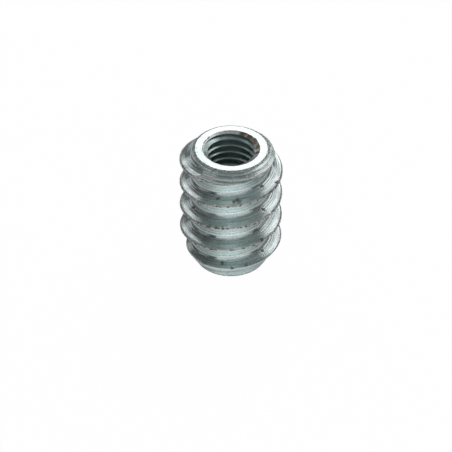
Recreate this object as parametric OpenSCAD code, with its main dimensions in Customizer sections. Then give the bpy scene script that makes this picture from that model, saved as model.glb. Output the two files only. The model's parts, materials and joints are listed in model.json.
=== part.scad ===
// Threaded insert for wood: a turned steel sleeve with a coarse
// self-cutting thread outside and a threaded bore right through it.
// It stands on its lower end. The origin is the centre of that end
// face, and +Z runs up along the bore.

/* [Body] */
// Length between the two end faces
body_length = 25; // [18:0.5:50]
// Diameter of the core that the outer thread stands on
core_d = 14.1; // [13.6:0.1:16]

/* [Upper end] */
// Outer diameter of the flat ring on the upper end
top_ring_d = 13.2; // [12:0.1:13.5]
// Slope of the upper chamfer, in degrees from the end face
top_chamfer_angle = 31; // [15:1:45]

/* [Lead-in end] */
// Outer diameter of the flat ring on the lower end
lead_ring_d = 13.1; // [12:0.1:13.5]
// Slope of the lead-in taper, in degrees from the axis
lead_taper_angle = 31; // [20:1:50]

/* [Outer thread] */
// Diameter over the crests
thread_d = 18.9; // [17:0.1:24]
// Rise of the thread in one turn
thread_pitch = 5.1; // [4.6:0.1:8]
// Slope of each flank, in degrees from the end faces
flank_angle = 27.5; // [15:0.5:30]
// Width of the blunt edge along the crest
crest_width = 0.25; // [0.1:0.05:0.6]
// Radius of the fillet between a flank and the core
root_fillet = 0.35; // [0.1:0.05:0.6]
// Depth of the first crest below the upper end, on the -Y side
crest_depth = 1.1; // [0:0.1:4.5]

/* [Bore] */
// Diameter inside the crests of the inner thread
bore_d = 8.7; // [5:0.1:9.5]
// Diameter of the countersink where it opens on an end face
mouth_d = 10.5; // [9.6:0.1:11.5]
// Included angle of the countersinks
mouth_angle = 120; // [60:5:140]

/* [Inner thread] */
// Depth of the groove that is tapped into the bore
groove_depth = 0.6; // [0.3:0.05:0.85]
// Rise of the inner thread in one turn
inner_pitch = 1.5; // [1.25:0.05:2]
// Slope of the groove's flanks, in degrees from the end faces
inner_flank_angle = 30; // [25:1:30]

/* [Hidden] */

steel_colour = [0.64, 0.70, 0.70];
// Overrun of a cutting shape past the surface that it cuts
overrun = 1;
round_steps = 96;
turn_steps = 60;
fillet_steps = 2;
groove_steps = 30;

core_r = core_d / 2;
thread_r = thread_d / 2;
bore_r = bore_d / 2;
mouth_r = mouth_d / 2;
mouth_depth = (mouth_r - bore_r) / tan(mouth_angle / 2);

// Half the width of a ridge where its straight flanks would meet the core
ridge_half = crest_width / 2 + (thread_r - core_r) * tan(flank_angle);
fillet_centre = ridge_half + root_fillet * tan((90 - flank_angle) / 2);

// The inner thread's cutter: a V whose back stands just clear of the wall,
// inside the bore
groove_r = bore_r + groove_depth;
groove_back_r = bore_r - groove_depth / 4;
groove_half = (groove_r - groove_back_r) * tan(inner_flank_angle);

// Whole turns from the upper end face to a start clear of the lower one
groove_turns = ceil((body_length + overrun) / inner_pitch);

// Whole turns between the first crest and a start clear of the lower end
turns_below = ceil((body_length - crest_depth) / thread_pitch) + 1;
turns_above = 2;
front_azimuth = -90;

// Fillet on the upper side of a ridge, from the flank down to the core,
// as [radius, height above the middle of the ridge]
function fillet_points() = [
    for (i = [fillet_steps : -1 : 0])
        let (a = (90 - flank_angle) * i / fillet_steps)
        [core_r + root_fillet * (1 - cos(a)), fillet_centre - root_fillet * sin(a)]
];

// One pitch of the thread's section, from the lower fillet to the upper one
function ridge_section() =
    let (
        upper = fillet_points(),
        crest = [thread_r, crest_width / 2],
        side = concat([crest], upper)
    )
    concat(
        [for (i = [len(side) - 1 : -1 : 0]) [side[i][0], -side[i][1]]],
        side
    );

// A [radius, height] point carried some turns up a right-hand helix
function on_helix(point, turns, pitch) =
    let (azimuth = front_azimuth + 360 * turns)
    [point[0] * cos(azimuth), point[0] * sin(azimuth), point[1] + pitch * turns];

// A point of the outer thread's section carried to step i
function on_ridge(point, i) = on_helix(
    [point[0], point[1] + body_length - crest_depth],
    i / turn_steps - turns_below,
    thread_pitch
);

// Core and thread as one closed body, swept along the helix. The last point
// of a section is joined to the first point of the section one turn above.
module threaded_bar() {
    section = ridge_section();
    count = len(section);
    steps = turn_steps * (turns_below + turns_above);
    bottom_hub = [0, 0, on_ridge([0, 0], 0)[2]];
    top_hub = [0, 0, on_ridge([0, 0], steps)[2]];
    bottom_id = count * (steps + 1) + turn_steps;
    top_id = bottom_id + 1;

    // Number of point j of section i, with j = count taken one turn above
    function id(i, j) =
        j < count && i <= steps ? i * count + j
        : j == count && i + turn_steps <= steps ? (i + turn_steps) * count
        : count * (steps + 1) + i + turn_steps - steps - 1;

    points = concat(
        [for (i = [0 : steps], p = section) on_ridge(p, i)],
        [for (i = [steps + 1 : steps + turn_steps]) on_ridge(section[0], i)],
        [bottom_hub, top_hub]
    );
    skin = [
        for (i = [0 : steps - 1], j = [0 : count - 1])
            each [
                [id(i, j), id(i, j + 1), id(i + 1, j + 1)],
                [id(i, j), id(i + 1, j + 1), id(i + 1, j)]
            ]
    ];
    bottom_end = concat(
        [for (j = [0 : count - 1]) [bottom_id, id(0, j + 1), id(0, j)]],
        [for (i = [0 : turn_steps - 1]) [bottom_id, id(i, 0), id(i + 1, 0)]]
    );
    top_end = concat(
        [for (j = [0 : count - 1]) [top_id, id(steps, j), id(steps, j + 1)]],
        [
            for (i = [steps - turn_steps : steps - 1])
                [top_id, id(i + 1, count), id(i, count)]
        ]
    );
    polyhedron(points, concat(skin, bottom_end, top_end), convexity = 12);
}

// What the lathe leaves of the bar: two flat end faces, the upper chamfer
// and the long lead-in taper, which both cut through the thread
module turned_outline() {
    outline_r = thread_r + overrun;
    lead_height = (outline_r - lead_ring_d / 2) / tan(lead_taper_angle);
    top_height = (outline_r - top_ring_d / 2) * tan(top_chamfer_angle);
    rotate_extrude($fn = round_steps)
        polygon([
            [0, 0],
            [lead_ring_d / 2, 0],
            [outline_r, lead_height],
            [outline_r, body_length - top_height],
            [top_ring_d / 2, body_length],
            [0, body_length]
        ]);
}

// The bore at the size of the inner thread's crests, countersunk at both ends
module bore_cut() {
    flare_r = mouth_r + overrun * tan(mouth_angle / 2);
    rotate_extrude($fn = round_steps)
        polygon([
            [0, -overrun],
            [flare_r, -overrun],
            [bore_r, mouth_depth],
            [bore_r, body_length - mouth_depth],
            [flare_r, body_length + overrun],
            [0, body_length + overrun]
        ]);
}

// The V groove of the inner thread, swept up the whole bore. It meets the
// upper end face on the -Y side.
module inner_groove() {
    section = [[groove_back_r, -groove_half], [groove_r, 0], [groove_back_r, groove_half]];
    count = len(section);
    steps = groove_steps * (groove_turns + 1);

    // Number of corner j of section i
    function id(i, j) = count * i + j % count;

    points = [
        for (i = [0 : steps], p = section)
            on_helix(p + [0, body_length], i / groove_steps - groove_turns, inner_pitch)
    ];
    skin = [
        for (i = [0 : steps - 1], j = [0 : count - 1])
            each [
                [id(i, j), id(i, j + 1), id(i + 1, j + 1)],
                [id(i, j), id(i + 1, j + 1), id(i + 1, j)]
            ]
    ];
    lower_end = [for (j = [count - 1 : -1 : 0]) id(0, j)];
    upper_end = [for (j = [0 : count - 1]) id(steps, j)];
    polyhedron(points, concat(skin, [lower_end, upper_end]), convexity = 20);
}

module insert_body() {
    color(steel_colour)
        difference() {
            intersection() {
                threaded_bar();
                turned_outline();
            }
            bore_cut();
            inner_groove();
        }
}

insert_body();
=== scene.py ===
import json
import math
import random

import bpy
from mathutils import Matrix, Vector


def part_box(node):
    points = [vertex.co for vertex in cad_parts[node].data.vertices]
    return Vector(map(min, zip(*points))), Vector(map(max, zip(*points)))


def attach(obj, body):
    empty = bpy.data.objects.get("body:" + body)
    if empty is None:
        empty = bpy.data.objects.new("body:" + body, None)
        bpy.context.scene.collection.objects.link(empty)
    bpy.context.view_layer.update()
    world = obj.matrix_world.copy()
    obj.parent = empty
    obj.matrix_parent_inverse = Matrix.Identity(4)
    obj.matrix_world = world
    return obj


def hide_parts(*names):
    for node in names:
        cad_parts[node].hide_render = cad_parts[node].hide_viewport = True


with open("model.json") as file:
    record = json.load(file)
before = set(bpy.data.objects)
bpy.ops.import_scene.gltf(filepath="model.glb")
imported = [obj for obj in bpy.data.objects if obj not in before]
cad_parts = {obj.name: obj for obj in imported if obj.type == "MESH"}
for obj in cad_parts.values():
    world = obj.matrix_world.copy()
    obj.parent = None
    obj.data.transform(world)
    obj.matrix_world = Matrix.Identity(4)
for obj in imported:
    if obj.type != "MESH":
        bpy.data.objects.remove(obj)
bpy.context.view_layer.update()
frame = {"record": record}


# ---------------------------------------------------------------------------
# Threaded bar: the core and the coarse self-cutting thread, one bar of steel.
# The thread is cut on a lathe by a pointed tool. It leaves a slightly hollow
# upper flank, fine marks that run with the helix and a blunt, torn crest.
# ---------------------------------------------------------------------------

MM = 0.001
low_corner, high_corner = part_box("insert_body")
LENGTH = high_corner[2] - low_corner[2]
CREST_R = (high_corner[0] - low_corner[0]) / 2
CORE_R = 7.05 * MM
PITCH = 5.1 * MM
FLANK_ANGLE = math.radians(27.5)
FLANK_HOLLOW = 0.08 * MM
CREST_WIDTH = 0.25 * MM
ROOT_FILLET = 0.35 * MM
FOOT_FILLET = 0.9 * MM
CREST_ROUND = 0.22 * MM
# The middle of the last crest is this far below the top, on the -Y side
CREST_DEPTH = 1.1 * MM

BAR_STEPS = 240
CREST_CUTS = 5
UPPER_FLANK_CUTS = 9
FOOT_CUTS = 7
GAP_CUTS = 4
ROOT_CUTS = 3
LOWER_FLANK_CUTS = 6
TOOL_MARK = 0.018 * MM
TOOL_MARK_SEED = 4
WELD = 0.001 * MM


def deselect_all():
    bpy.ops.object.select_all(action="DESELECT")


def draw_profile(name, points):
    """A chain of edges through points, drawn by extruding one vertex along."""
    deselect_all()
    bpy.ops.mesh.primitive_plane_add(size=MM)
    profile = bpy.context.object
    profile.name = name
    bpy.ops.object.mode_set(mode="EDIT")
    bpy.ops.mesh.select_mode(type="VERT")
    bpy.ops.mesh.select_all(action="SELECT")
    bpy.ops.mesh.merge(type="CENTER")
    bpy.ops.transform.translate(value=points[0])
    for before, after in zip(points, points[1:]):
        step = Vector(after) - Vector(before)
        bpy.ops.mesh.extrude_region_move(TRANSFORM_OT_translate={"value": step})
    bpy.ops.object.mode_set(mode="OBJECT")
    return profile


def apply_modifiers(piece):
    bpy.context.view_layer.objects.active = piece
    for modifier in list(piece.modifiers):
        bpy.ops.object.modifier_apply(modifier=modifier.name)


def screw_profile(profile, pitch, steps, turns):
    """Turns a profile to the -Y side and sweeps it up a right-hand helix."""
    bpy.ops.object.mode_set(mode="EDIT")
    bpy.ops.mesh.select_all(action="SELECT")
    bpy.ops.transform.rotate(value=math.pi / 2, orient_axis="Z", center_override=(0, 0, 0))
    bpy.ops.object.mode_set(mode="OBJECT")
    screw = profile.modifiers.new("helix", "SCREW")
    screw.axis = "Z"
    screw.angle = math.tau
    screw.screw_offset = pitch
    screw.steps = steps
    screw.render_steps = steps
    screw.iterations = turns
    apply_modifiers(profile)


def close_ends(bar, middle_z):
    """Welds the turns and draws each open end together at its centre."""
    bpy.context.view_layer.objects.active = bar
    bpy.ops.object.mode_set(mode="EDIT")
    bpy.ops.mesh.select_mode(type="EDGE")
    bpy.ops.mesh.select_all(action="SELECT")
    bpy.ops.mesh.remove_doubles(threshold=WELD)
    for side in (-1, 1):
        bpy.ops.mesh.select_all(action="DESELECT")
        bpy.ops.mesh.select_non_manifold()
        bpy.ops.object.mode_set(mode="OBJECT")
        points = bar.data.vertices
        for edge in bar.data.edges:
            height = points[edge.vertices[0]].co.z - middle_z
            edge.select = edge.select and height * side > 0
        bpy.ops.object.mode_set(mode="EDIT")
        bpy.ops.mesh.extrude_region_move()
        bpy.ops.mesh.merge(type="CENTER")
    bpy.ops.mesh.select_all(action="SELECT")
    bpy.ops.mesh.normals_make_consistent(inside=False)
    bpy.ops.object.mode_set(mode="OBJECT")


def evenly(start, end, cuts):
    """Points from start up to, and without, end."""
    start, end = Vector(start), Vector(end)
    return [start.lerp(end, i / cuts) for i in range(cuts)]


# The finishes, one for each way in which the surface was cut, and the underside
# finish, a darker copy with painted shade for faces that face down. A face whose
# normal rises less than DOWNWARD counts as facing down
DOWNWARD = -0.2
THREAD, PAINTED_SHADE_UNDERSIDE, TURNED, BORE, MOUTH = range(5)
FINISHES = [
    bpy.data.materials.new("thread_steel"),
    bpy.data.materials.new("underside_steel_painted_shade"),
    bpy.data.materials.new("turned_steel"),
    bpy.data.materials.new("bore_steel"),
    bpy.data.materials.new("mouth_steel"),
]


def give_finish(piece, index, index_below=None):
    """Gives a piece one of the insert's finishes, or one more where it faces down, such as the
    underside finish with painted shade.
    """
    piece.data.materials.clear()
    for finish in FINISHES:
        piece.data.materials.append(finish)
    for face in piece.data.polygons:
        below = index_below is not None and face.normal.z < DOWNWARD
        face.material_index = index_below if below else index


# Tears of the crest: grain, depth, way and the grain's middle level
CREST_TEARS = [
    (0.5 * MM, 0.16 * MM, "NORMAL", 0.95),
    (0.8 * MM, 0.10 * MM, "Z", 0.5),
]
TEAR_DETAIL = 2


def roughen(piece, low_r, high_r, low_z, tears):
    """Tears the ring of points between two radii and above low_z, as cutting does."""
    group = piece.vertex_groups.new(name="edge")
    edge = [v.index for v in piece.data.vertices
            if low_r < math.hypot(v.co.x, v.co.y) < high_r and v.co.z > low_z]
    group.add(edge, 1.0, "REPLACE")
    for grain, depth, direction, middle in tears:
        texture = bpy.data.textures.new("tear", "CLOUDS")
        texture.noise_scale = grain
        texture.noise_depth = TEAR_DETAIL
        displace = piece.modifiers.new("tear", "DISPLACE")
        displace.texture = texture
        displace.texture_coords = "LOCAL"
        displace.vertex_group = "edge"
        displace.direction = direction
        displace.mid_level = middle
        displace.strength = depth
    apply_modifiers(piece)


def fillet(radius, turn, cuts):
    """A round from the core's wall, one step for each cut, out to a flank."""
    arc = []
    for i in range(cuts + 1):
        a = turn * i / cuts
        arc.append(Vector((CORE_R + radius * (1 - math.cos(a)), 0, -radius * math.sin(a))))
    return arc


def hollow_flank(tip, foot, cuts):
    """Points from the crest down a flank, without its foot. The flank is a
    parabola that is hollow by FLANK_HOLLOW halfway down."""
    run = foot - tip
    inward = Vector((-run.z, 0, run.x)).normalized() * FLANK_HOLLOW
    points = []
    for i in range(cuts):
        share = i / cuts
        points.append(tip + run * share + inward * 4 * share * (1 - share))
    return points


def thread_section():
    """One pitch of the ridge, from the middle of the gap below to the next."""
    marks = random.Random(TOOL_MARK_SEED)
    turn = math.pi / 2 - FLANK_ANGLE
    round_centre = CREST_WIDTH / 2 - CREST_ROUND * math.tan(turn / 2)
    crest = []
    for i in range(CREST_CUTS + 1):
        a = turn * i / CREST_CUTS
        x = CREST_R - CREST_ROUND * (1 - math.cos(a))
        crest.append(Vector((x, 0, round_centre + CREST_ROUND * math.sin(a))))
    tip = crest[-1]

    def on_flank(arc):
        """Moves a fillet up so that its outer end is on the flank."""
        rise = tip.z + (tip.x - arc[-1].x) * math.tan(FLANK_ANGLE) - arc[-1].z
        return [point + Vector((0, 0, rise)) for point in arc]

    def below(point):
        return Vector((point.x, 0, -point.z))

    hollow_turn = 4 * FLANK_HOLLOW * math.cos(FLANK_ANGLE) / (CREST_R - CORE_R)
    under = on_flank(fillet(ROOT_FILLET, turn, ROOT_CUTS))
    over = on_flank(fillet(FOOT_FILLET, turn - hollow_turn, FOOT_CUTS))
    gap = Vector((CORE_R, 0, PITCH / 2))
    points = evenly(below(gap), below(under[0]), GAP_CUTS)
    points += [below(p) for p in under[:-1]]
    points += evenly(below(under[-1]), below(tip), LOWER_FLANK_CUTS)
    points += [below(p) for p in reversed(crest)]
    points += [p.copy() for p in crest[:-1]]
    points += hollow_flank(tip, over[-1], UPPER_FLANK_CUTS)
    points += list(reversed(over[1:]))
    points += evenly(over[0], gap, GAP_CUTS)
    first = points[0].copy()
    for point in points[1:]:
        point.x -= marks.random() * TOOL_MARK
        point.z += marks.uniform(-1, 1) * TOOL_MARK
    return points + [first + Vector((0, 0, PITCH))]


turns_below = math.ceil((LENGTH - CREST_DEPTH) / PITCH) + 1
bar_start = LENGTH - CREST_DEPTH - turns_below * PITCH
section = [p + Vector((0, 0, bar_start)) for p in thread_section()]
insert = draw_profile("threaded_insert", section)
screw_profile(insert, PITCH, BAR_STEPS, turns_below + 2)
close_ends(insert, LENGTH / 2)
# Faces that face down get the underside finish, a darker copy with painted shade
give_finish(insert, THREAD, PAINTED_SHADE_UNDERSIDE)
roughen(insert, CREST_R - CREST_WIDTH, CREST_R + CREST_WIDTH, -LENGTH, CREST_TEARS)


# ---------------------------------------------------------------------------
# Turned ends: the bar is faced off at both ends, chamfered at the upper one
# and turned to a long lead-in taper at the lower one. Both slopes cut through
# the thread, so its last turns fade out in them.
# ---------------------------------------------------------------------------

TOP_RING_R = 6.6 * MM
TOP_CHAMFER_ANGLE = math.radians(31)
LEAD_RING_R = 6.55 * MM
LEAD_TAPER_ANGLE = math.radians(31)
OVERRUN = 1 * MM
EDGE_BREAK = 0.05 * MM
# Tears of the rims, listed as the crest's are
EDGE_TEAR = [
    (0.30 * MM, 0.26 * MM, "X", 0.5),
    (0.30 * MM, 0.26 * MM, "Y", 0.5),
]
LATHE_STEPS = 240


def lathe_profile(profile, steps):
    """Spins a profile once round Z into a closed solid with welded poles."""
    bpy.context.view_layer.objects.active = profile
    bpy.ops.object.mode_set(mode="EDIT")
    bpy.ops.mesh.select_all(action="SELECT")
    bpy.ops.mesh.spin(steps=steps, angle=math.tau, center=(0, 0, 0), axis=(0, 0, 1))
    bpy.ops.mesh.select_all(action="SELECT")
    bpy.ops.mesh.remove_doubles(threshold=WELD)
    bpy.ops.mesh.normals_make_consistent(inside=False)
    bpy.ops.object.mode_set(mode="OBJECT")


def cut(piece, tool, operation):
    """Cuts piece with tool, which is used up. The cut keeps the tool's finish."""
    boolean = piece.modifiers.new("cut", "BOOLEAN")
    boolean.operation = operation
    boolean.solver = "MANIFOLD"
    boolean.object = tool
    apply_modifiers(piece)
    deselect_all()
    tool.select_set(True)
    bpy.ops.object.delete()


outline_r = CREST_R + OVERRUN
top_slope = math.tan(TOP_CHAMFER_ANGLE)
lead_slope = 1 / math.tan(LEAD_TAPER_ANGLE)
outline_points = [
    (0, 0, 0),
    (LEAD_RING_R - EDGE_BREAK, 0, 0),
    (LEAD_RING_R + EDGE_BREAK / lead_slope, 0, EDGE_BREAK),
    (outline_r, 0, (outline_r - LEAD_RING_R) * lead_slope),
    (outline_r, 0, LENGTH - (outline_r - TOP_RING_R) * top_slope),
    (TOP_RING_R + EDGE_BREAK, 0, LENGTH - EDGE_BREAK * top_slope),
    (TOP_RING_R - EDGE_BREAK, 0, LENGTH),
    (0, 0, LENGTH),
]
outline = draw_profile("outline", outline_points)
lathe_profile(outline, LATHE_STEPS)
give_finish(outline, TURNED)
roughen(outline, TOP_RING_R - 2 * EDGE_BREAK, TOP_RING_R + 2 * EDGE_BREAK, LENGTH / 2, EDGE_TEAR)
cut(insert, outline, "INTERSECT")


# ---------------------------------------------------------------------------
# Threaded bore: an M10 thread of 1.5 mm pitch, tapped right through, and a
# wide countersink at each end that takes the start of the thread away.
# ---------------------------------------------------------------------------

BORE_R = frame["record"]["mounts"][0]["dims"]["r_mm"] * MM
MOUTH_R = 5.25 * MM
MOUTH_ANGLE = math.radians(60)
MOUTH_RISE = EDGE_BREAK / 4
INNER_PITCH = 1.5 * MM
INNER_FLANK_ANGLE = math.radians(30)
GROOVE_DEPTH = 0.8 * MM
GROOVE_R = BORE_R + GROOVE_DEPTH
GROOVE_FLAT = INNER_PITCH / 5
TAP_STEPS = 96

flank_run = (GROOVE_R - BORE_R) * math.tan(INNER_FLANK_ANGLE)
groove_half = GROOVE_FLAT / 2 + flank_run
tap_turns = math.ceil((LENGTH + OVERRUN) / INNER_PITCH)
tap_start = LENGTH - tap_turns * INNER_PITCH
tap_points = [
    (BORE_R, 0, tap_start - INNER_PITCH / 2),
    (BORE_R, 0, tap_start - groove_half),
    (GROOVE_R, 0, tap_start - GROOVE_FLAT / 2),
    (GROOVE_R, 0, tap_start + GROOVE_FLAT / 2),
    (BORE_R, 0, tap_start + groove_half),
    (BORE_R, 0, tap_start + INNER_PITCH / 2),
]
tap = draw_profile("tap", tap_points)
screw_profile(tap, INNER_PITCH, TAP_STEPS, tap_turns + 1)
close_ends(tap, LENGTH / 2)
give_finish(tap, BORE)
cut(insert, tap, "DIFFERENCE")

for end_z, outward in ((0, -1), (LENGTH, 1)):
    depth = MOUTH_R / math.tan(MOUTH_ANGLE)
    flare_r = MOUTH_R + OVERRUN * math.tan(MOUTH_ANGLE)
    countersink = draw_profile("countersink", [
        (0, 0, end_z - outward * depth),
        (MOUTH_R - EDGE_BREAK, 0, end_z - outward * EDGE_BREAK / math.tan(MOUTH_ANGLE)),
        (MOUTH_R + EDGE_BREAK, 0, end_z + outward * MOUTH_RISE),
        (flare_r, 0, end_z + outward * OVERRUN),
        (0, 0, end_z + outward * OVERRUN),
    ])
    lathe_profile(countersink, LATHE_STEPS)
    give_finish(countersink, MOUTH)
    roughen(countersink, MOUTH_R - 2 * EDGE_BREAK, MOUTH_R + 2 * EDGE_BREAK, LENGTH / 2, EDGE_TEAR)
    cut(insert, countersink, "DIFFERENCE")

# The cuts leave slivers with no area, which are dissolved
bpy.context.view_layer.objects.active = insert
bpy.ops.object.mode_set(mode="EDIT")
bpy.ops.mesh.select_all(action="SELECT")
bpy.ops.mesh.dissolve_degenerate(threshold=WELD)
bpy.ops.object.mode_set(mode="OBJECT")


# ---------------------------------------------------------------------------
# Zinc plating: the whole insert is plated after turning. The film is thin and
# bright with a cold cast, and the tool marks, worn crests and a few specks of
# rust and cutting dirt show through it. Shade is painted into the colour too:
# out along the undersides, on the core under each turn and low on the left.
# ---------------------------------------------------------------------------

PLATING_COLOUR = (0.72, 0.79, 0.785, 1)
COLD_COLOUR = (0.60, 0.69, 0.69, 1)
WARM_COLOUR = (0.92, 0.85, 0.84, 1)
CREST_COLOUR = (0.70, 0.67, 0.63, 1)
BORE_COLOUR = (0.35, 0.47, 0.47, 1)
# Painted shade: the darker colour of faces that face down
UNDERSIDE_PAINTED_SHADE_COLOUR = (0.345, 0.48, 0.465, 1)
MOUTH_COLOUR = (0.90, 0.88, 0.86, 1)
# Grime in the tool marks and grain, and also the colour of painted shade
GRIME_AND_PAINTED_SHADE_COLOUR = (0.20, 0.22, 0.21, 1)
RUST_COLOUR = (0.085, 0.060, 0.042, 1)
OCHRE_COLOUR = (0.17, 0.13, 0.085, 1)
FLOAT = "NodeSocketFloat"
VECTOR = "NodeSocketVector"


def connect(tree, values, sockets):
    """Sets each socket to a value, or links it to another socket."""
    for value, socket in zip(values, sockets):
        if isinstance(value, bpy.types.NodeSocket):
            tree.links.new(value, socket)
        elif value is not None:
            socket.default_value = value


def place(tree, kind, options=None, **inputs):
    """Adds a node with its options, and its inputs given by name."""
    node = tree.nodes.new(kind)
    for option, value in (options or {}).items():
        setattr(node, option, value)
    sockets = [node.inputs[name.replace("_", " ")] for name in inputs]
    connect(tree, inputs.values(), sockets)
    return node


def maths(tree, operation, *values):
    node = tree.nodes.new("ShaderNodeMath")
    node.operation = operation
    connect(tree, values, node.inputs)
    return node.outputs[0]


def ramp(tree, value, low, high, out_low=0.0, out_high=1.0):
    """Stretches a value from one range to another, and clamps it."""
    node = tree.nodes.new("ShaderNodeMapRange")
    connect(tree, (value, low, high, out_low, out_high), node.inputs)
    return node.outputs[0]


def mix_colour(tree, share, first, second):
    node = tree.nodes.new("ShaderNodeMix")
    node.data_type = "RGBA"
    connect(tree, (share, first, second), (node.inputs[0], node.inputs[6], node.inputs[7]))
    return node.outputs[2]


def object_point(tree):
    return tree.nodes.new("ShaderNodeTexCoord").outputs["Object"]


def new_group(name, inputs, outputs):
    """A node group, and the sockets that it is given and has to fill."""
    group = bpy.data.node_groups.new(name, "ShaderNodeTree")
    for socket_name, kind, default in inputs:
        socket = group.interface.new_socket(socket_name, in_out="INPUT", socket_type=kind)
        if default is not None:
            socket.default_value = default
    for socket_name, kind in outputs:
        group.interface.new_socket(socket_name, in_out="OUTPUT", socket_type=kind)
    given = group.nodes.new("NodeGroupInput").outputs
    result = group.nodes.new("NodeGroupOutput").inputs
    return group, given, result


def fill(group, result, **values):
    for name, value in values.items():
        group.links.new(value, result[name])


def from_axis(tree, x, y):
    squares = maths(tree, "ADD", maths(tree, "MULTIPLY", x, x), maths(tree, "MULTIPLY", y, y))
    return maths(tree, "SQRT", squares)


def helix_group():
    """Coordinates that stay the same along a helix of the given pitch."""
    group, given, result = new_group(
        "helix_section", [("Pitch", FLOAT, PITCH)],
        [("Section", VECTOR), ("Radius", FLOAT), ("Phase", FLOAT)])
    x, y, z = place(group, "ShaderNodeSeparateXYZ", Vector=object_point(group)).outputs
    radius = from_axis(group, x, y)
    turn = maths(group, "ARCTAN2", y, x)
    rise = maths(group, "DIVIDE", maths(group, "MULTIPLY", z, math.tau), given["Pitch"])
    phase = maths(group, "SUBTRACT", rise, turn)
    reach = maths(group, "DIVIDE", given["Pitch"], math.tau)
    section_point = place(
        group, "ShaderNodeCombineXYZ", X=radius,
        Y=maths(group, "MULTIPLY", maths(group, "COSINE", phase), reach),
        Z=maths(group, "MULTIPLY", maths(group, "SINE", phase), reach))
    fill(group, result, Section=section_point.outputs[0], Radius=radius, Phase=phase)
    return group


def ring_group():
    """Coordinates that stay the same round each ring about the axis."""
    group, given, result = new_group(
        "ring_section", [], [("Section", VECTOR), ("Radius", FLOAT)])
    x, y, z = place(group, "ShaderNodeSeparateXYZ", Vector=object_point(group)).outputs
    radius = from_axis(group, x, y)
    section_point = place(group, "ShaderNodeCombineXYZ", X=radius)
    fill(group, result, Section=section_point.outputs[0], Radius=radius)
    return group


# Grain is in waves a metre, and a pair of levels says at which level of a
# noise a mark starts and where it is full
DRIFT_GRAIN = 130.0
DRIFT_REACH = 3.0
BROAD_GRAIN = 0.4
FINE_SHARE = 0.85
BROAD_SHARE = 0.15
STREAK_LEVELS = (0.50, 0.62)
GROOVE_LEVELS = (0.46, 0.34)


def marks_group():
    """Ridges left by the tool: broad and fine, fading in and out as they run."""
    group, given, result = new_group(
        "tool_marks",
        [("Section", VECTOR, None), ("Fineness", FLOAT, 3000.0), ("Drift", FLOAT, DRIFT_GRAIN)],
        [("Height", FLOAT), ("Streak", FLOAT), ("Groove", FLOAT)])
    drift = place(group, "ShaderNodeTexNoise", Vector=object_point(group),
                  Scale=given["Drift"]).outputs["Fac"]
    slow = maths(group, "DIVIDE", maths(group, "MULTIPLY", drift, DRIFT_REACH), given["Fineness"])
    four = {"noise_dimensions": "4D"}
    fine = place(group, "ShaderNodeTexNoise", four, Vector=given["Section"], W=slow,
                 Scale=given["Fineness"]).outputs["Fac"]
    broad = place(group, "ShaderNodeTexNoise", four, Vector=given["Section"], W=slow,
                  Scale=maths(group, "MULTIPLY", given["Fineness"], BROAD_GRAIN)).outputs["Fac"]
    height = maths(group, "ADD", maths(group, "MULTIPLY", fine, FINE_SHARE),
                   maths(group, "MULTIPLY", broad, BROAD_SHARE))
    fill(group, result, Height=height, Streak=ramp(group, fine, *STREAK_LEVELS),
         Groove=ramp(group, fine, *GROOVE_LEVELS))
    return group


CLOUD_GRAIN = 250.0
CLOUD_LEVELS = (0.35, 0.65)
FINE_GRAIN = 4500.0
PATCH_GRAIN = 2000.0


def bloom_group():
    """Cloudy patches in the plating, and its fine grain."""
    group, given, result = new_group(
        "plating_bloom", [("Size", FLOAT, CLOUD_GRAIN)],
        [("Cloud", FLOAT), ("Grain", FLOAT), ("Patch", FLOAT)])
    where = object_point(group)
    cloud = place(group, "ShaderNodeTexNoise", Vector=where, Scale=given["Size"], Detail=3.0)
    grain = place(group, "ShaderNodeTexNoise", Vector=where, Scale=FINE_GRAIN, Detail=2.0)
    patch = place(group, "ShaderNodeTexNoise", Vector=where, Scale=PATCH_GRAIN, Detail=3.0)
    fill(group, result, Cloud=ramp(group, cloud.outputs["Fac"], *CLOUD_LEVELS),
         Grain=grain.outputs["Fac"], Patch=patch.outputs["Fac"])
    return group


SPECK_GRAIN = 1500.0
SPREAD_GRAIN = 260.0
SPECK_LEVEL = 0.86
SPECK_AMOUNT = 0.2
SPECK_EDGE = 0.05


def rust_group():
    """A mask of small scattered specks of rust and dirt."""
    group, given, result = new_group("rust_specks", [("Amount", FLOAT, 0.5)], [("Mask", FLOAT)])
    where = object_point(group)
    small = place(group, "ShaderNodeTexNoise", Vector=where, Scale=SPECK_GRAIN, Detail=4.0,
                  Roughness=0.65).outputs["Fac"]
    spread = place(group, "ShaderNodeTexNoise", Vector=where, Scale=SPREAD_GRAIN).outputs["Fac"]
    density = maths(group, "MULTIPLY", small, maths(group, "ADD", spread, 0.5))
    low = maths(group, "SUBTRACT", SPECK_LEVEL,
                maths(group, "MULTIPLY", given["Amount"], SPECK_AMOUNT))
    mask = ramp(group, density, low, maths(group, "ADD", low, SPECK_EDGE))
    fill(group, result, Mask=mask)
    return group


GROUPS = {
    "helix": helix_group(),
    "rings": ring_group(),
    "marks": marks_group(),
    "bloom": bloom_group(),
    "rust": rust_group(),
}

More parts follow.
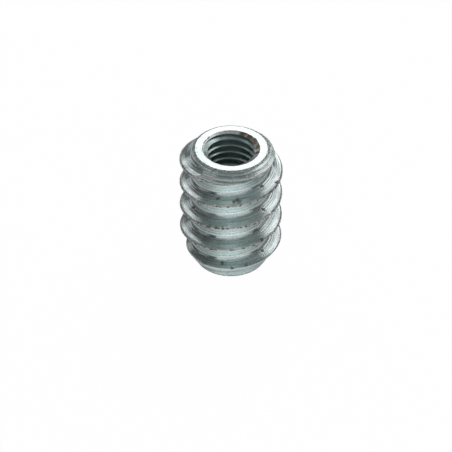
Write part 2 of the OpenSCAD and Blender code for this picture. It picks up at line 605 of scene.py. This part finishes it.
# Stains: azimuth in degrees from +X, then distance from the axis, height
# and size in millimetres
STAINS = [
    (-81, 8.47, 19.56, 0.75),
    (-86, 8.50, 19.50, 0.50),
    (-107, 7.97, 19.46, 0.50),
    (-43, 7.78, 20.46, 0.55),
    (-43, 8.09, 15.20, 0.45),
    (-153, 7.57, 13.91, 0.65),
    (-51, 9.13, 9.44, 0.55),
    (-42, 7.76, 5.19, 0.40),
    (-70, 8.85, 4.22, 0.45),
    (-88, 8.91, 3.93, 0.50),
    (-101, 8.01, 4.22, 0.45),
    (-116, 9.40, 13.45, 0.70),
    (-107, 9.40, 13.59, 0.60),
    (-99, 9.40, 13.70, 0.50),
    (-39, 9.40, 19.64, 0.50),
    (-24, 9.06, 20.06, 0.45),
]
OCHRE_STAINS = [
    (-12, 4.85, 24.80, 0.90),
    (8, 4.85, 24.80, 1.20),
    (28, 4.95, 24.80, 1.40),
    (46, 5.00, 24.85, 1.50),
    (64, 4.95, 24.85, 1.20),
    (144, 5.30, 25.00, 0.35),
]


def use_group(tree, name, **inputs):
    return place(tree, "ShaderNodeGroup", {"node_tree": GROUPS[name]}, **inputs).outputs


STAIN_GRAIN = 1600.0
STAIN_MIDDLE = 0.3
# How much a stain covers, and how ragged it is in millimetres
STAIN_COVER = (0.9, 1.4)
OCHRE_COVER = (0.95, 0.7)


def stain_mask(tree, stains, cover, raggedness):
    """How much of a stain covers each point: ragged patches at set places."""
    where = object_point(tree)
    ragged = place(tree, "ShaderNodeTexNoise", Vector=where, Scale=STAIN_GRAIN, Detail=4.0)
    wobble = maths(tree, "SUBTRACT", ragged.outputs["Fac"], 0.5)
    wobble = maths(tree, "MULTIPLY", wobble, raggedness * MM)
    total = 0.0
    for azimuth, reach, height, size in stains:
        a = math.radians(azimuth)
        middle = Vector((reach * math.cos(a), reach * math.sin(a), height)) * MM
        gap = place(tree, "ShaderNodeVectorMath", {"operation": "DISTANCE"})
        connect(tree, (where, middle), gap.inputs)
        reached = maths(tree, "ADD", gap.outputs["Value"], wobble)
        patch = ramp(tree, reached, size * STAIN_MIDDLE * MM, size * MM, cover, 0.0)
        total = maths(tree, "MAXIMUM", total, patch)
    return total


# Tool marks are shallow on the end faces and deepen out from the rings there
FACE_MARKS = 0.2
FACE_MARGIN = 0.3 * MM
SANDY_SHARE = 0.35
SANDY_LEVELS = (0.46, 0.66)
# Painted shade on the core, close under each turn
CORE_PAINTED_SHADE = 0.6
CORE_PAINTED_SHADE_FROM = CORE_R + 0.1 * MM
CORE_PAINTED_SHADE_TO = CORE_R + 0.4 * MM
UNDER_TURN_LEVELS = (0.1, 1.0)
# Painted shade low on the left side, full below the first height and gone above the second
LEFT_PAINTED_SHADE_FROM = LENGTH * 0.25
LEFT_PAINTED_SHADE_TO = LENGTH * 0.7
# The crest is worn: less plating, rougher and dirtier
WORN_FROM = CREST_R - 0.30 * MM
WORN_TO = CREST_R - 0.12 * MM
WORN_COLOUR = 0.9
WORN_DIRT = 0.85
PATCH_LEVELS = (0.50, 0.57)
WORN_ROUGHNESS = 0.15
WORN_METAL = 0.5
# Dirt caught in the torn lip of a ring or a countersink
LIP_DIRT = 0.8
LIP_LEVELS = (0.40, 0.55)
LIP_HALF = 0.05 * MM
LIP_FADE = 0.25 * MM
DIRT_ROUGHNESS = 0.4
DIRT_METAL = 0.8
DIRT_HEIGHT = 0.15
GRAIN_HEIGHT = 0.12


def paint_shade(tree, colour, lines, painted_underside_shade, painted_left_shade, gap_phase):
    """Paints shade into a colour: out along an underside, low on the left and under each turn."""
    # Painted shade, darker out along an underside toward the crest
    outer = ramp(tree, lines["Radius"], CORE_R + FOOT_FILLET, CREST_R - ROOT_FILLET, 0.0, painted_underside_shade)
    colour = mix_colour(tree, outer, colour, GRIME_AND_PAINTED_SHADE_COLOUR)
    if gap_phase:
        # Painted shade on the core just under each turn
        above = maths(tree, "SINE", maths(tree, "SUBTRACT", lines["Phase"], gap_phase))
        wall = ramp(tree, lines["Radius"], CORE_PAINTED_SHADE_FROM, CORE_PAINTED_SHADE_TO, CORE_PAINTED_SHADE, 0.0)
        painted_shade_under_turn = maths(tree, "MULTIPLY", wall, ramp(tree, above, *UNDER_TURN_LEVELS))
        colour = mix_colour(tree, painted_shade_under_turn, colour, GRIME_AND_PAINTED_SHADE_COLOUR)
    # Painted shade low on the left side
    x, y, z = place(tree, "ShaderNodeSeparateXYZ", Vector=object_point(tree)).outputs
    low_left_painted_shade = maths(tree, "MULTIPLY", ramp(tree, x, 0.0, -CREST_R, 0.0, painted_left_shade),
                 ramp(tree, z, LEFT_PAINTED_SHADE_FROM, LEFT_PAINTED_SHADE_TO, 1.0, 0.0))
    return mix_colour(tree, low_left_painted_shade, colour, GRIME_AND_PAINTED_SHADE_COLOUR)


def dirt_mask(tree, lines, bloom, worn, rust, lip_r):
    """Specks, stains, dirt along the worn crest and round a lip."""
    specks = use_group(tree, "rust", Amount=rust)["Mask"]
    dirt = maths(tree, "MAXIMUM", specks, stain_mask(tree, STAINS, *STAIN_COVER))
    patches = maths(tree, "MULTIPLY", ramp(tree, bloom["Patch"], *PATCH_LEVELS), WORN_DIRT)
    dirt = maths(tree, "MAXIMUM", dirt, maths(tree, "MULTIPLY", worn, patches))
    if lip_r:
        off_lip = maths(tree, "ABSOLUTE", maths(tree, "SUBTRACT", lines["Radius"], lip_r))
        lip = maths(tree, "MULTIPLY", ramp(tree, off_lip, LIP_HALF, LIP_FADE, 1.0, 0.0),
                    ramp(tree, bloom["Grain"], *LIP_LEVELS))
        dirt = maths(tree, "MAXIMUM", dirt, maths(tree, "MULTIPLY", lip, LIP_DIRT))
    return dirt


def plate(finish, section, pitch=None, base=PLATING_COLOUR, shade=COLD_COLOUR, fineness=3200.0,
          mark_depth=0.05, rust=0.5, roughness=0.14, streaks=0.15, grime=0.15, film=1.0,
          painted_underside_shade=0.0, painted_left_shade=0.0, gap_phase=None, lip_r=None, ochre=None):
    """Zinc plated steel, with the marks of the tool that cut this surface."""
    finish.use_nodes = True
    tree = finish.node_tree
    shader = tree.nodes["Principled BSDF"]
    lines = use_group(tree, section, Pitch=pitch) if pitch else use_group(tree, section)
    marks = use_group(tree, "marks", Section=lines["Section"], Fineness=fineness)
    bloom = use_group(tree, "bloom")
    colour = mix_colour(tree, bloom["Cloud"], base, shade)
    depth = ramp(tree, lines["Radius"], TOP_RING_R, TOP_RING_R + FACE_MARGIN, FACE_MARKS, 1.0)
    light = maths(tree, "MULTIPLY", marks["Streak"], maths(tree, "MULTIPLY", depth, streaks))
    dark = maths(tree, "MULTIPLY", marks["Groove"], maths(tree, "MULTIPLY", depth, grime))
    colour = mix_colour(tree, light, colour, WARM_COLOUR)
    colour = mix_colour(tree, dark, colour, GRIME_AND_PAINTED_SHADE_COLOUR)
    sandy = ramp(tree, bloom["Grain"], *SANDY_LEVELS, 0.0, SANDY_SHARE)
    colour = mix_colour(tree, sandy, colour, GRIME_AND_PAINTED_SHADE_COLOUR)
    # Painted shade: along undersides, on the core under each turn and low on the left
    colour = paint_shade(tree, colour, lines, painted_underside_shade, painted_left_shade, gap_phase)
    worn = ramp(tree, lines["Radius"], WORN_FROM, WORN_TO)
    colour = mix_colour(tree, maths(tree, "MULTIPLY", worn, WORN_COLOUR), colour, CREST_COLOUR)
    if ochre:
        colour = mix_colour(tree, stain_mask(tree, ochre, *OCHRE_COVER), colour, OCHRE_COLOUR)
    dirt = dirt_mask(tree, lines, bloom, worn, rust, lip_r)
    colour = mix_colour(tree, dirt, colour, RUST_COLOUR)
    rough = maths(tree, "ADD", light, roughness)
    rough = maths(tree, "ADD", rough, maths(tree, "MULTIPLY", dirt, DIRT_ROUGHNESS))
    rough = maths(tree, "ADD", rough, maths(tree, "MULTIPLY", worn, WORN_ROUGHNESS))
    metal = maths(tree, "SUBTRACT", film, maths(tree, "MULTIPLY", dirt, film * DIRT_METAL))
    metal = maths(tree, "SUBTRACT", metal, maths(tree, "MULTIPLY", worn, WORN_METAL))
    grain = maths(tree, "MULTIPLY", bloom["Grain"], GRAIN_HEIGHT)
    height = maths(tree, "ADD", marks["Height"], grain)
    height = maths(tree, "SUBTRACT", height, maths(tree, "MULTIPLY", dirt, DIRT_HEIGHT))
    bump = place(tree, "ShaderNodeBump", Strength=depth, Distance=mark_depth * MM, Height=height)
    connect(tree, (colour, rough, metal, bump.outputs["Normal"]),
            [shader.inputs[n] for n in ("Base Color", "Roughness", "Metallic", "Normal")])


# The thread gets painted shade low on the left and on the core under each turn
gap_height = LENGTH - CREST_DEPTH - PITCH / 2
plate(FINISHES[THREAD], "helix", pitch=PITCH, mark_depth=0.075, streaks=0.22, grime=0.3,
      painted_left_shade=0.35, gap_phase=math.tau * gap_height / PITCH + math.pi / 2)
# The underside finish: painted shade out toward the crest and low on the left
plate(FINISHES[PAINTED_SHADE_UNDERSIDE], "helix", pitch=PITCH, base=UNDERSIDE_PAINTED_SHADE_COLOUR, roughness=0.25,
      painted_underside_shade=0.95, painted_left_shade=0.35)
plate(FINISHES[TURNED], "rings", fineness=3600.0, mark_depth=0.10, streaks=0.7, grime=0.8, rust=0.6,
      lip_r=TOP_RING_R + 3 * EDGE_BREAK)
plate(FINISHES[BORE], "helix", pitch=INNER_PITCH, base=BORE_COLOUR, roughness=0.2, film=0.8)
plate(FINISHES[MOUTH], "rings", base=MOUTH_COLOUR, shade=PLATING_COLOUR, roughness=0.3, streaks=0.3,
      grime=0.5, lip_r=MOUTH_R, ochre=OCHRE_STAINS)

SMOOTH_ANGLE = math.radians(12)

deselect_all()
insert.select_set(True)
bpy.context.view_layer.objects.active = insert
bpy.ops.object.shade_smooth_by_angle(angle=SMOOTH_ANGLE)
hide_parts("insert_body")
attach(insert, "root")


# ---------------------------------------------------------------------------
# Studio: a plain white floor, soft lamps in a dim room and a camera that looks
# down from the front. The strips lean along the grooves of the two sides.
# ---------------------------------------------------------------------------

FLOOR_SIZE = 6.0
FLOOR_GLOW = 0.96
FLOOR_WHITE = (1.02, 1.02, 1.02, 1)
# A painted cold tint on the floor as the insert mirrors it
PAINTED_REFLECTION_TINT = (0.94, 1.03, 1.03, 1)
FLOOR_PAINT = (0.9, 0.9, 0.9, 1)
# What the insert mirrors of the floor is painted into the floor's glow: a painted
# shadow where they touch, painted shade behind, at the sides and at the back left,
# and a painted brighter glow far off
CONTACT_SHADE = 3 * MM
PAINTED_CONTACT_SHADOW_GLOW = 0.65
FLOOR_NEAR = 2 * CREST_R
FLOOR_FAR = 8 * CREST_R
PAINTED_FAR_GLOW = 1.25
BEHIND_START = 12 * MM
BEHIND_END = 50 * MM
PAINTED_BEHIND_SHADE_GLOW = 0.15
PAINTED_SIDE_SHADE_GLOW = 0.20
SIDE_FALL = 3.0
BACK_LEFT_SHADE = 0.7
BACK_LEFT_X = (-2 * MM, -16 * MM)
BACK_LEFT_Y = (0.0, 12 * MM)
VIEW_TARGET = Vector((-0.88, 0, 6.67)) * MM
VIEW_ELEVATION = math.radians(39.65)
VIEW_DISTANCE = 0.5113
VIEW_TURN = math.radians(0.1)
VIEW_ROLL = math.radians(0.286)
VIEW_LENS = 219.8
CLIP_START = 0.01
CLIP_END = 20
LAMP_DISTANCE = 0.8
LAMP_GAIN = 4

# Lamps: azimuth from +X, elevation, angles across and up that they fill as
# seen from the insert, and lean, all in degrees, and brightness
LAMPS = {
    "back_lamp": (80, 33, 36, 26, 0, 1.33),
    "front_lamp": (-90, 30, 84, 44, 0, 0.45),
    "right_strip_1": (45, 38, 48, 8, -55, 0.76),
    "right_strip_2": (30, 42, 48, 8, -55, 0.82),
    "right_strip_3": (56, 38, 36, 5, -55, 0.62),
    "right_strip_4": (18, 40, 30, 5, -55, 0.50),
    "right_strip_5": (41, 58, 26, 10, -55, 0.60),
    "left_strip_1": (117, 25, 16, 8, 55, 0.45),
    "left_strip_2": (125, 34, 20, 9, 55, 0.64),
    "left_strip_3": (136, 46, 16, 9, 55, 0.58),
    "left_strip_4": (145, 60, 22, 12, 55, 0.50),
    "left_strip_5": (113, 42, 34, 5, 55, 0.50),
    "left_strip_6": (130, 28, 26, 6, 55, 0.45),
    "left_strip_7": (131, 18, 20, 6, 55, 0.40),
    "left_wash": (141, 34, 40, 16, 55, 0.09),
    "left_wall": (182, 22, 34, 18, 0, 0.24),
    "right_wall": (-2, 20, 34, 18, 0, 0.24),
}


def toward(azimuth, elevation):
    """The direction of an azimuth from +X and an elevation, in radians."""
    level = math.cos(elevation)
    return Vector((level * math.cos(azimuth), level * math.sin(azimuth), math.sin(elevation)))


deselect_all()
bpy.ops.mesh.primitive_plane_add(size=FLOOR_SIZE)
floor = bpy.context.object
floor.name = "floor"
floor_finish = bpy.data.materials.new("floor_white")
floor_finish.use_nodes = True
tree = floor_finish.node_tree
tree.nodes.clear()
surface = tree.nodes.new("ShaderNodeOutputMaterial")
plain = place(tree, "ShaderNodeBsdfDiffuse", Color=FLOOR_PAINT)
ray = tree.nodes.new("ShaderNodeLightPath").outputs
tint = mix_colour(tree, ray["Is Camera Ray"], PAINTED_REFLECTION_TINT, FLOOR_WHITE)
spot = place(tree, "ShaderNodeSeparateXYZ", Vector=object_point(tree)).outputs
length = place(tree, "ShaderNodeVectorMath", {"operation": "LENGTH"})
tree.links.new(object_point(tree), length.inputs[0])
distance = length.outputs["Value"]
# Painted reflection: the floor as mirrored glows brighter far off
mirrored_distance = maths(tree, "MULTIPLY", distance, ray["Is Glossy Ray"])
glow = place(tree, "ShaderNodeEmission", Color=tint,
             Strength=ramp(tree, mirrored_distance, FLOOR_NEAR, FLOOR_FAR, 1.0, PAINTED_FAR_GLOW))
# Painted shadow where the insert touches the floor, and painted shade behind, at the sides and at
# the back left, in the floor as mirrored
clear = ramp(tree, distance, CREST_R, CREST_R + CONTACT_SHADE, PAINTED_CONTACT_SHADOW_GLOW, 1.0)
ahead = maths(tree, "DIVIDE", maths(tree, "ABSOLUTE", spot["Y"]), distance)
side = ramp(tree, distance, FLOOR_NEAR, FLOOR_FAR, PAINTED_SIDE_SHADE_GLOW, PAINTED_SIDE_SHADE_GLOW / 4)
dim = ramp(tree, maths(tree, "POWER", ahead, SIDE_FALL), 0.0, 1.0, side, 1.0)
behind = ramp(tree, spot["Y"], BEHIND_START, BEHIND_END, 1.0, PAINTED_BEHIND_SHADE_GLOW)
dim = maths(tree, "MULTIPLY", dim, behind)
back_left_painted_shade = maths(tree, "MULTIPLY", ramp(tree, spot["X"], *BACK_LEFT_X, 0.0, BACK_LEFT_SHADE),
                  ramp(tree, spot["Y"], *BACK_LEFT_Y))
dim = maths(tree, "MULTIPLY", dim, maths(tree, "SUBTRACT", 1.0, back_left_painted_shade))
painted_mirror_glow = maths(tree, "MULTIPLY", ray["Is Glossy Ray"], maths(tree, "MULTIPLY", clear, dim))
seen = maths(tree, "MAXIMUM", ray["Is Camera Ray"], painted_mirror_glow)
share = maths(tree, "MULTIPLY", seen, FLOOR_GLOW)
both = tree.nodes.new("ShaderNodeMixShader")
connect(tree, (share, plain.outputs[0], glow.outputs[0]), both.inputs)
tree.links.new(both.outputs[0], surface.inputs["Surface"])
floor.data.materials.append(floor_finish)

# The room: brightness up from the horizon to straight overhead
ROOM = [
    (0.00, (0.54, 0.57, 0.57, 1)),
    (0.12, (0.40, 0.43, 0.43, 1)),
    (0.25, (0.12, 0.13, 0.13, 1)),
    (0.56, (0.13, 0.14, 0.14, 1)),
    (0.67, (0.30, 0.33, 0.33, 1)),
    (0.78, (0.30, 0.33, 0.33, 1)),
    (0.89, (0.11, 0.13, 0.13, 1)),
    (1.00, (0.60, 0.64, 0.64, 1)),
]
# The room is darker behind and on the left, but not overhead
ROOM_FRONT_TO_BACK = (-0.9, 0.1)
ROOM_BACK = 0.35
ROOM_LEFT_TO_MIDDLE = (-0.8, -0.5)
ROOM_LEFT = 0.6
ROOM_OVERHEAD = (0.5, 0.8)
world = bpy.data.worlds.new("studio")
bpy.context.scene.world = world
world.use_nodes = True
tree = world.node_tree
way = place(tree, "ShaderNodeSeparateXYZ",
            Vector=tree.nodes.new("ShaderNodeTexCoord").outputs["Generated"]).outputs
height = maths(tree, "DIVIDE", maths(tree, "ARCSINE", way["Z"]), math.pi / 2)
room = tree.nodes.new("ShaderNodeValToRGB")
tree.links.new(height, room.inputs[0])
stops = room.color_ramp.elements
for position, colour in ROOM[1:-1]:
    stops.new(position)
for stop, (position, colour) in zip(stops, ROOM):
    stop.position = position
    stop.color = colour
back = ramp(tree, way["Y"], *ROOM_FRONT_TO_BACK, 1.0, ROOM_BACK)
left = ramp(tree, way["X"], *ROOM_LEFT_TO_MIDDLE, ROOM_LEFT, 1.0)
overhead = ramp(tree, way["Z"], *ROOM_OVERHEAD)
dim = maths(tree, "MAXIMUM", maths(tree, "MULTIPLY", back, left), overhead)
tree.links.new(room.outputs[0], tree.nodes["Background"].inputs["Color"])
tree.links.new(dim, tree.nodes["Background"].inputs["Strength"])

for name, (azimuth, elevation, across, up, lean, brightness) in LAMPS.items():
    lamp_data = bpy.data.lights.new(name, "AREA")
    lamp_data.shape = "RECTANGLE"
    lamp_data.size = 2 * LAMP_DISTANCE * math.tan(math.radians(across) / 2)
    lamp_data.size_y = 2 * LAMP_DISTANCE * math.tan(math.radians(up) / 2)
    lamp_data.energy = LAMP_GAIN * lamp_data.size * lamp_data.size_y * brightness
    lamp = bpy.data.objects.new(name, lamp_data)
    bpy.context.scene.collection.objects.link(lamp)
    away = toward(math.radians(azimuth), math.radians(elevation))
    lamp.location = away * LAMP_DISTANCE
    lamp.rotation_euler = (-away).to_track_quat("-Z", "Y").to_euler()
    lamp.rotation_euler.rotate_axis("Z", math.radians(lean))

camera_data = bpy.data.cameras.new("camera")
camera_data.lens = VIEW_LENS
camera_data.clip_start = CLIP_START
camera_data.clip_end = CLIP_END
camera = bpy.data.objects.new("camera", camera_data)
bpy.context.scene.collection.objects.link(camera)
back_away = toward(VIEW_TURN - math.pi / 2, VIEW_ELEVATION)
camera.location = VIEW_TARGET + back_away * VIEW_DISTANCE
camera.rotation_euler = (-back_away).to_track_quat("-Z", "Y").to_euler()
camera.rotation_euler.rotate_axis("Z", VIEW_ROLL)
bpy.context.scene.camera = camera

bpy.context.scene.view_settings.view_transform = "Standard"
